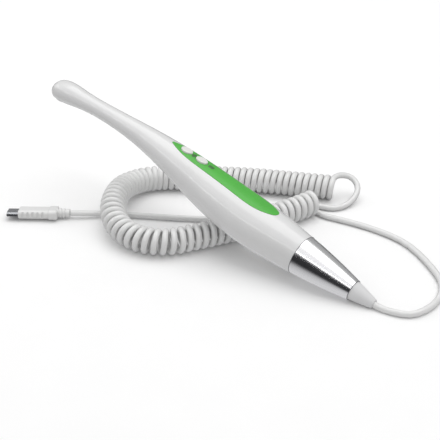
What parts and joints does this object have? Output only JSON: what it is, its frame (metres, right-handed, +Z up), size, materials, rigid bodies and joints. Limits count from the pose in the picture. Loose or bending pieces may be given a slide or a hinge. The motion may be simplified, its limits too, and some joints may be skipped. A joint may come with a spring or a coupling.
{
  "type": "intraoral camera",
  "caption": "Slim handheld mouth camera with a green button panel, a chrome tail cone and a curly cable that ends in a small flat plug.",
  "frame": {"origin": "on the table, under the middle of the handpiece's box without its cord and plug", "axes": "+X from the camera head towards the cable end, +Y to the side where the cord loops round, +Z up"},
  "size_m": [0.2524, 0.1564, 0.0672],
  "materials": {
    "white_shell": "smooth gloss white",
    "key_green": "smooth gloss bright green",
    "button_white": "smooth white",
    "chrome": "polished",
    "soft_grey": "matt",
    "board": "lacquered board",
    "chip": "moulded black",
    "cream_plastic": "moulded",
    "steel": "plain",
    "ribbon": "thin flex",
    "black_metal": "matt black",
    "clear": "clear",
    "lamp": "clear yellow",
    "cord_white": "smooth satin white"
  },
  "bodies": {
    "handpiece": {"upper_shell": "white_shell", "lower_shell": "white_shell", "keypad_panel": "key_green", "keypad_board": "board", "front_switch": "chip", "rear_switch": "chip", "keypad_screws": "steel", "main_board": "board", "image_processor": "chip", "board_screws": "steel", "ribbon_socket": "cream_plastic", "flex_ribbon": "ribbon", "sensor_board": "board", "image_sensor": "chip", "lens_holder": "black_metal", "lens_barrel": "black_metal", "lens_element": "clear", "lamp_board": "board", "lamps": "lamp", "head_window": "clear", "window_bezel": "white_shell", "tail_cone": "chrome", "cone_collar": "steel", "strain_relief": "soft_grey", "inner_cable": "cord_white", "cable_header": "cream_plastic", "cable_connector": "cream_plastic", "handpiece_lead": "cord_white", "curly_cord": "cord_white", "plug_lead": "cord_white", "plug_body": "cord_white", "plug_shell": "steel", "plug_insert": "chip"},
    "front_button": {"front_button": "button_white"},
    "rear_button": {"rear_button": "button_white"}
  },
  "joints": [
    {"name": "front_press", "type": "slide", "parent": "handpiece", "child": "front_button", "axis": [-0.2479, -0.1392, -0.9587], "range_m": [0, 0.0005], "stiffness_N_per_m": 800},
    {"name": "rear_press", "type": "slide", "parent": "handpiece", "child": "rear_button", "axis": [-0.2479, -0.1392, -0.9587], "range_m": [0, 0.0005], "stiffness_N_per_m": 800}
  ]
}
